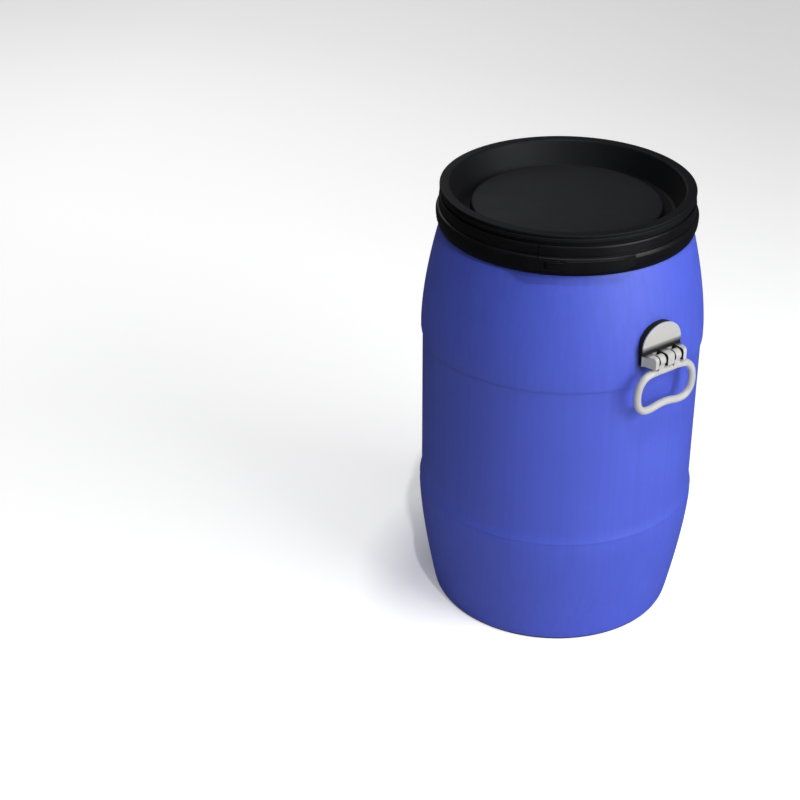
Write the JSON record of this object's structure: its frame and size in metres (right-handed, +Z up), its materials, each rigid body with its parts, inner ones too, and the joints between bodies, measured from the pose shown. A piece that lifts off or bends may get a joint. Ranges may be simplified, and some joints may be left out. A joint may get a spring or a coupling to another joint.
{
  "type": "plastic open head drum",
  "caption": "Blow-moulded plastic drum with a removable dished lid, lever-latched clamp ring and drop bail handles on its shoulder.",
  "frame": {"origin": "middle of the foot, on the surface that the drum stands on", "axes": "+Z up along the drum's axis; +X through the front handle; the lever latch lies between +X and -Y"},
  "size_m": [0.5532, 0.4988, 0.8],
  "materials": {
    "blue_body": "satin blow-moulded polyethylene",
    "black_lid": "fine-grained matt moulding",
    "black_ring": "semi-matt black coating",
    "grey_handle": "light grey satin coating",
    "zinc_fixings": "bright zinc plate",
    "rubber": "matt black"
  },
  "bodies": {
    "drum": {"drum_body": "blue_body", "front_hinge_plate": "grey_handle", "front_hinge_pin": "zinc_fixings", "front_packer": "rubber", "front_backing_plate": "zinc_fixings", "front_stud_a": "zinc_fixings", "front_stud_b": "zinc_fixings", "front_nut_a": "zinc_fixings", "front_nut_b": "zinc_fixings", "rear_hinge_plate": "grey_handle", "rear_hinge_pin": "zinc_fixings", "rear_packer": "rubber", "rear_backing_plate": "zinc_fixings", "rear_stud_a": "zinc_fixings", "rear_stud_b": "zinc_fixings", "rear_nut_a": "zinc_fixings", "rear_nut_b": "zinc_fixings"},
    "closure": {"lid": "black_lid", "lid_gasket": "rubber", "clamp_ring": "black_ring", "fulcrum_bracket": "black_ring", "catch_bracket": "black_ring", "fulcrum_rivet_upper": "zinc_fixings", "fulcrum_rivet_lower": "zinc_fixings", "catch_rivet_upper": "zinc_fixings", "catch_rivet_lower": "zinc_fixings", "lever_pin": "black_ring", "catch_pin": "black_ring"},
    "closing_lever": {"lever": "black_ring", "link_pin": "black_ring"},
    "closing_link": {"claw_link": "black_ring"},
    "front_bail": {"front_bail": "grey_handle"},
    "rear_bail": {"rear_bail": "grey_handle"}
  },
  "joints": [
    {"name": "lid_lift", "type": "slide", "parent": "drum", "child": "closure", "axis": [0, 0, 1], "range_m": [0, 0.25]},
    {"name": "lever_swing", "type": "hinge", "parent": "closure", "child": "closing_lever", "pos_m": [0.15037, -0.17298, 0.752], "axis": [0, 0, -1], "range_deg": [0, 135]},
    {"name": "link_swing", "type": "hinge", "parent": "closing_lever", "child": "closing_link", "pos_m": [0.16348, -0.16065, 0.752], "axis": [0, 0, 1], "range_deg": [0, 135]},
    {"name": "front_bail_swing", "type": "hinge", "parent": "drum", "child": "front_bail", "pos_m": [0.26657, 0, 0.58], "axis": [0, -1, 0], "range_deg": [-6, 180]},
    {"name": "rear_bail_swing", "type": "hinge", "parent": "drum", "child": "rear_bail", "pos_m": [-0.26657, 0, 0.58], "axis": [0, 1, 0], "range_deg": [-6, 180]}
  ],
  "couplings": [
    {"joint": "link_swing", "follows": "lever_swing", "ratio": 1}
  ]
}
